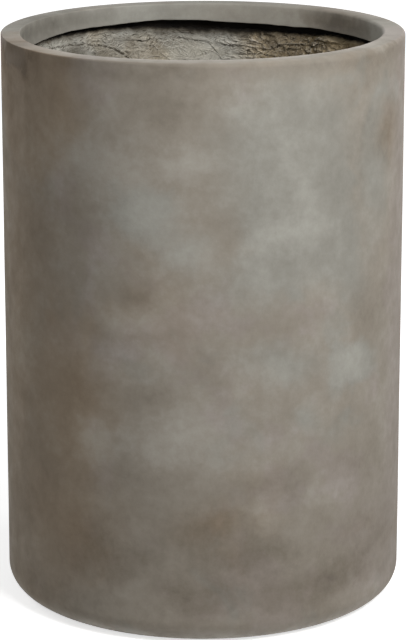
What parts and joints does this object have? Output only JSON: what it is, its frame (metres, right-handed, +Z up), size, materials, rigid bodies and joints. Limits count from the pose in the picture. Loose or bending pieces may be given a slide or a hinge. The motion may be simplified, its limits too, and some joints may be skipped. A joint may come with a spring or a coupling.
{
  "type": "round floor planter",
  "caption": "Tall straight-sided round floor planter in mottled fibre cement, with a flat rim, an inward lip, a hand-laid fibre lining and a drain stopper.",
  "frame": {"origin": "centre of the circle that the foot stands on, at floor level", "axes": "+Z up along the planter's axis and out of its mouth; -Y towards the viewer of the picture; +X to that viewer's right"},
  "size_m": [0.4, 0.4, 0.571],
  "materials": {
    "face_coat": "matte",
    "mortar": "matte",
    "fibre_lining": "matte",
    "stopper": "matte"
  },
  "bodies": {
    "pot": {"face_skin": "face_coat", "rim_core": "mortar", "base_slab": "mortar", "wall_mat_right": "fibre_lining", "wall_mat_back": "fibre_lining", "wall_mat_left": "fibre_lining", "wall_mat_front": "fibre_lining", "corner_cove": "mortar"},
    "plug": {"drain_plug": "stopper"}
  },
  "joints": [
    {"name": "plug_lift", "type": "slide", "parent": "pot", "child": "plug", "axis": [0, 0, 1], "range_m": [0, 0.6]}
  ]
}
